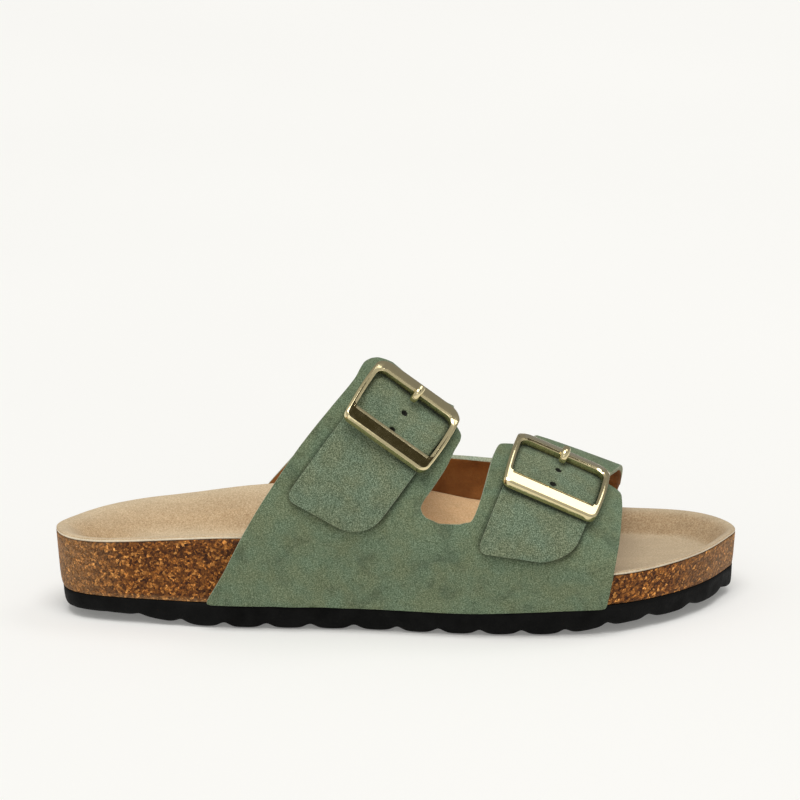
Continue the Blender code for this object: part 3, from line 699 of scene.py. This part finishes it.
# %% [markdown]
# ## Punched holes
# A strap has holes for the prong. A hole is punched into the fine mesh: the faces round its middle are
# picked, their outline is drawn onto a circle, and the patch is pushed into the leather twice, first a
# little for the worn rim and then to its full depth. A Boolean would cut it too, but leaves a rough rim.

# %% Punch a hole
HOLE = 3
HOLE_RADIUS = 1.35 * MM
HOLE_STEPS = [
    {"narrower": 0.92, "deeper": 0.2 * MM},
    {"narrower": 0.96, "deeper": 1.3 * MM},
]
HOLES = {"rear": [(0.2, 1.4), (-0.2, -7.4)], "front": [(0.0, 3.4), (-0.3, -5.0)]}
FACING_OUT = 0.5


def push_in(made, patch, narrower, push):
    """Push a patch of faces into the sheet and narrow it, and hand back the pushed patch."""
    grown = bmesh.ops.extrude_face_region(made, geom=patch)["geom"]
    bmesh.ops.delete(made, geom=patch, context="FACES_ONLY")
    pushed = [part for part in grown if isinstance(part, bmesh.types.BMFace)]
    verts = list({vert for face in pushed for vert in face.verts})
    middle = sum((vert.co for vert in verts), Vector()) / len(verts)
    bmesh.ops.scale(made, vec=(narrower,) * 3, space=Matrix.Translation(-middle), verts=verts)
    bmesh.ops.translate(made, vec=push, verts=verts)
    return pushed


def punch(made, place, p, q):
    """Punch a hole at a spot given along the bar and up the strap from the buckle's middle, in mm."""
    spot = place @ Vector((p * MM, q * MM, 0))
    out = place.to_3x3().col[2]

    def flat(point):
        away = point - spot
        return away - out * away.dot(out)

    made.normal_update()
    outer = [face for face in made.faces if face.normal.dot(out) > FACING_OUT]
    patch = [face for face in outer if flat(face.calc_center_median()).length < HOLE_RADIUS]
    inside = set(patch)
    rim = [edge for face in patch for edge in face.edges if not inside.issuperset(edge.link_faces)]
    for vert in {vert for edge in rim for vert in edge.verts}:
        way = flat(vert.co)
        vert.co += way.normalized() * HOLE_RADIUS - way
    for step in HOLE_STEPS:
        patch = push_in(made, patch, step["narrower"], -out * step["deeper"])
    # Painted shade: the bottom and lower walls of the hole get the dark hole finish.
    for face in {near for face in patch for vert in face.verts for near in vert.link_faces}:
        face.material_index = HOLE
    print("hole faces:", len(patch))


# %% [markdown]
# ## Strap ends
# The free end of each strap runs under its buckle and hangs over the quarter. It is dressed as the upper
# is. Its upper end goes under the top bar, where it sinks onto the strap below and narrows a little.

# %% Strap ends
TOP_START = 13.5 * MM
TOP_REACH = 6.0 * MM
TOP_SINK = 2.3 * MM
TOP_NARROW = 0.2
BELOW_STRAP = Vector((0, 40 * MM, -40 * MM))


def sink_top(made, place):
    """Let the strap's upper end sink onto the strap of the upper and narrow under the bar."""
    back = place.inverted()
    for vert in made.verts:
        spot = back @ vert.co
        share = min(max((spot.y - TOP_START) / TOP_REACH, 0.0), 1.0)
        spot.x *= 1 - TOP_NARROW * share
        spot.z -= TOP_SINK * share * share
        vert.co = place @ spot


def strap_end(name):
    """Free end of one strap, with its holes."""
    place = LIES[name]["place"]
    made = leather_sheet("strap_end_" + name, place.translation + BELOW_STRAP)
    sink_top(made, place)
    soften_edges(made)
    for p, q in HOLES[name]:
        punch(made, place, p, q)
    finishes = [STRAP_SUEDE, BROWN_LINING, SAGE_EDGE_AND_HIGHLIGHT, HOLE_SHADE]
    put("strap_end_suede_" + name, made, "strap_end_" + name, finishes)


for name in LIES:
    strap_end(name)

# %% [markdown]
# ## The plate of a buckle
# A cast buckle starts as a flat plate. A rectangle gets round corners by bevelling its corner points,
# an inset makes the window, and the inset's loop is moved so that the low bar and the top bar come out
# wider than the sides. Cuts across the plate let it bow at the sides and bend over the strap later.

# %% Flat frame of a buckle
BUCKLE_LONG = 36.6 * MM
BUCKLE_TALL = 33.0 * MM
LOW_CORNER = 2.8 * MM
TOP_CORNER = 5.5 * MM
CORNER_ZONE = 0.49 * BUCKLE_LONG
SIDE_BAR = 2.2 * MM
LOW_BAR = 6.6 * MM
TOP_BAR = 6.3 * MM
SIDE_BOW = 0.9 * MM
SIDE_ZONE = BUCKLE_LONG / 3
CUTS = (-0.6, -0.3, 0.0, 0.3, 0.6)
CUT_NEAR = 0.001 * MM


def buckle_plate():
    """Flat frame with its window, in the buckle's own directions."""
    made = bmesh.new()
    bmesh.ops.create_grid(made, x_segments=1, y_segments=1, size=0.5)
    bmesh.ops.scale(made, vec=(BUCKLE_LONG, BUCKLE_TALL, 1), verts=made.verts)
    for side, radius in ((-1, LOW_CORNER), (1, TOP_CORNER)):
        corners = [vert for vert in made.verts if vert.co.y * side > 0 and abs(vert.co.x) > CORNER_ZONE]
        bmesh.ops.bevel(made, geom=corners, offset=radius, offset_type="OFFSET", affect="VERTICES",
                        segments=6, profile=0.5, material=-1)
    inset = bmesh.ops.inset_region(made, faces=made.faces[:], thickness=SIDE_BAR, use_boundary=True,
                                   use_even_offset=True)
    pane = [face for face in made.faces if face not in inset["faces"]]
    window = [vert for face in pane for vert in face.verts]
    low = [vert for vert in window if vert.co.y < 0]
    high = [vert for vert in window if vert.co.y > 0]
    bmesh.ops.translate(made, vec=(0, LOW_BAR - SIDE_BAR, 0), verts=low)
    bmesh.ops.translate(made, vec=(0, SIDE_BAR - TOP_BAR, 0), verts=high)
    bmesh.ops.delete(made, geom=pane, context="FACES")
    return made


def bow_sides(made):
    """Cut across the frame and bow its sides outwards."""
    for share in CUTS:
        everything = made.verts[:] + made.edges[:] + made.faces[:]
        bmesh.ops.bisect_plane(made, geom=everything, plane_co=(0, share * BUCKLE_TALL / 2, 0),
                               plane_no=(0, 1, 0), dist=CUT_NEAR)
    for vert in made.verts:
        if abs(vert.co.x) > SIDE_ZONE:
            share = max(1 - (2 * vert.co.y / BUCKLE_TALL) ** 2, 0)
            vert.co.x += math.copysign(SIDE_BOW * share, vert.co.x)


print("buckle window:", round((BUCKLE_TALL - LOW_BAR - TOP_BAR) / MM, 1), "mm tall")

# %% [markdown]
# ## The body of a buckle
# The frame is given its thickness, and the outer side of the top bar is sloped. A shallow chamfer runs
# round its face for the bright lines, a little wider at the window's side of the low bar. Every edge is
# rounded, as on a polished casting, and the frame is bent over the strap by the curve of the CAD buckle.

# %% Buckles
BUCKLE_THICK = 2.4 * MM
TOP_FALL = 1.5 * MM
FACING_UP = 0.7
CHAMFER_WIDE = 0.85 * MM
CHAMFER_TALL = 0.5 * MM
RIM_EXTRA = 0.6 * MM
RIM_NEAR = 0.2 * MM
CAST_ANGLE = 20
SHARP_ANGLE = 18
EDGE_ROUND = 0.24 * MM


def thicken(made):
    """Give the frame its thickness, half of it on either side of its middle."""
    bmesh.ops.recalc_face_normals(made, faces=made.faces)
    bmesh.ops.solidify(made, geom=made.faces[:], thickness=BUCKLE_THICK)
    rise = BUCKLE_THICK / 2 - max(vert.co.z for vert in made.verts)
    bmesh.ops.translate(made, vec=(0, 0, rise), verts=made.verts)
    bmesh.ops.recalc_face_normals(made, faces=made.faces)


def slope_top(made):
    """Lower the outer side of the top bar."""
    inside = BUCKLE_TALL / 2 - TOP_BAR
    for vert in made.verts:
        if vert.co.z > 0 and vert.co.y > inside:
            vert.co.z -= TOP_FALL * (vert.co.y - inside) / TOP_BAR


def chamfer(made):
    """Run a shallow chamfer round the face of the frame."""
    face_up = [face for face in made.faces if face.normal.z > FACING_UP]
    bmesh.ops.inset_region(made, faces=face_up, thickness=CHAMFER_WIDE, depth=CHAMFER_TALL,
                           use_even_offset=True)
    bmesh.ops.translate(made, vec=(0, 0, -CHAMFER_TALL), verts=made.verts)
    rim_line = LOW_BAR - BUCKLE_TALL / 2 - CHAMFER_WIDE
    raised = [vert for vert in made.verts if vert.co.z > 0.4 * BUCKLE_THICK]
    rim = [vert for vert in raised if abs(vert.co.y - rim_line) < RIM_NEAR]
    bmesh.ops.translate(made, vec=(0, -RIM_EXTRA, 0), verts=rim)


def buckle(name):
    """Cast frame of one buckle, bent over its strap."""
    lie = LIES[name]
    made = buckle_plate()
    bow_sides(made)
    thicken(made)
    slope_top(made)
    chamfer(made)
    bmesh.ops.bevel(made, geom=hard_edges(made, CAST_ANGLE), offset=EDGE_ROUND, offset_type="OFFSET",
                    affect="EDGES", segments=3, profile=0.5, material=-1, clamp_overlap=True)
    for vert in made.verts:
        vert.co.z += np.polyval(lie["bend"], vert.co.y)
    bmesh.ops.transform(made, matrix=lie["place"], verts=made.verts)
    put("buckle_gold_" + name, made, "buckle_" + name, [PALE_GOLD], sharp=SHARP_ANGLE)


for name in LIES:
    buckle(name)

# %% [markdown]
# ## Prongs
# A prong is a round pin that comes out of the strap's hole and lies over the top bar. The CAD pin has
# the right path, so a rounded copy of it is enough. Rounding makes a pin thinner, so the copy is spread
# along the bar to its width again.

# %% Prongs
PRONG_SPREAD = 1.4

for name, lie in LIES.items():
    prong = rounded(copy_of("prong_" + name), 2)
    middle = sum((vert.co for vert in prong.verts), Vector()) / len(prong.verts)
    own = (Matrix.Translation(middle) @ lie["place"].to_3x3().to_4x4()).inverted()
    bmesh.ops.scale(prong, vec=(PRONG_SPREAD, 1.0, 1.0), space=own, verts=prong.verts)
    put("prong_gold_" + name, prong, "prong_" + name, [PALE_GOLD])

# %% [markdown]
# ## Floor
# A pale floor that runs far past the frame gives the seamless background of a studio. It is a light
# table: it glows a little, so that the shadow under the sole stays pale.

# %% Floor
FLOOR_HALF = 6.0
PAPER_PATCH = 0.4

paper = Finish("studio_paper", 0.9)
paper.use(paper.tones(paper.noise(PAPER_PATCH, 1.0), [(0.3, (224, 223, 220)), (0.7, (226, 225, 222))]))
paper.fix({"Emission Color": linear(255, 254, 250), "Emission Strength": 0.18})
floor = bpy.data.meshes.new("floor")
ground = bmesh.new()
bmesh.ops.create_grid(ground, x_segments=2, y_segments=2, size=FLOOR_HALF)
ground.to_mesh(floor)
ground.free()
floor.materials.append(paper.material)
stage = bpy.data.objects.new("floor", floor)
bpy.context.scene.collection.objects.link(stage)
print("floor:", 2 * FLOOR_HALF, "m wide")

# %% [markdown]
# ## Lamps
# The main light is a wide, even one from above the camera, so the shadow in front of the sole is tight.
# A weak lamp in front opens up the side. Metal shows what stands round it, so a lamp behind the toe
# whitens the front buckle's low bar.

# %% Lamps
KEY_FROM = (0.0, -1.1, 2.9)
KEY_SPREAD = math.radians(40)
KEY_STRENGTH = 1.8
LAMPS = [
    {"name": "front", "at": (-0.6, -6.5, 3.0), "size": 3.4, "watts": 20.0},
    {"name": "back", "at": (1.9, 1.0, 3.4), "size": 1.6, "watts": 12.0},
]
LIT_POINT = Vector((0, 0, 0.04))


def hang(light, at):
    """Hang a lamp at a place and point it at the shoe."""
    holder = bpy.data.objects.new(light.name, light)
    holder.location = at
    holder.rotation_euler = (LIT_POINT - Vector(at)).to_track_quat("-Z", "Y").to_euler()
    bpy.context.scene.collection.objects.link(holder)


key = bpy.data.lights.new("key", "SUN")
key.angle = KEY_SPREAD
key.energy = KEY_STRENGTH
hang(key, KEY_FROM)
for lamp in LAMPS:
    light = bpy.data.lights.new(lamp["name"], "AREA")
    light.shape = "DISK"
    light.size = lamp["size"]
    light.energy = lamp["watts"]
    hang(light, lamp["at"])
print("lamps:", len(LAMPS) + 1)

# %% [markdown]
# ## The room
# A pale world fills the shadows and is what the metal reflects. It is darker behind the shoe, which
# gives the top bars their tone, and it has one dark gap, which gives the rear buckle its deep low bar.
# The plain view transform keeps the colours as they were written.

# %% World
GAP_TOWARDS = Vector((0.56, -0.35, 0.75)).normalized()
ROOM_STRENGTH = 0.56

sky = bpy.data.worlds.new("studio")
sky.use_nodes = True
room = Nodes(sky.node_tree, "Generated")
towards_gap = room.node("VectorMath", {0: room.place, 1: GAP_TOWARDS}, operation="DOT_PRODUCT")
walls = room.tones(towards_gap.outputs["Value"], [(0.95, (250, 250, 248)), (0.985, (82, 78, 60))])
behind = room.shares(room.axis("Y"), [(0.0, 1.0), (0.6, 0.5)])
backdrop = sky.node_tree.nodes["Background"]
sky.node_tree.links.new(room.times(walls, behind), backdrop.inputs["Color"])
backdrop.inputs["Strength"].default_value = ROOM_STRENGTH
bpy.context.scene.world = sky
bpy.context.scene.view_settings.view_transform = "Standard"
print("room strength:", ROOM_STRENGTH)

# %% [markdown]
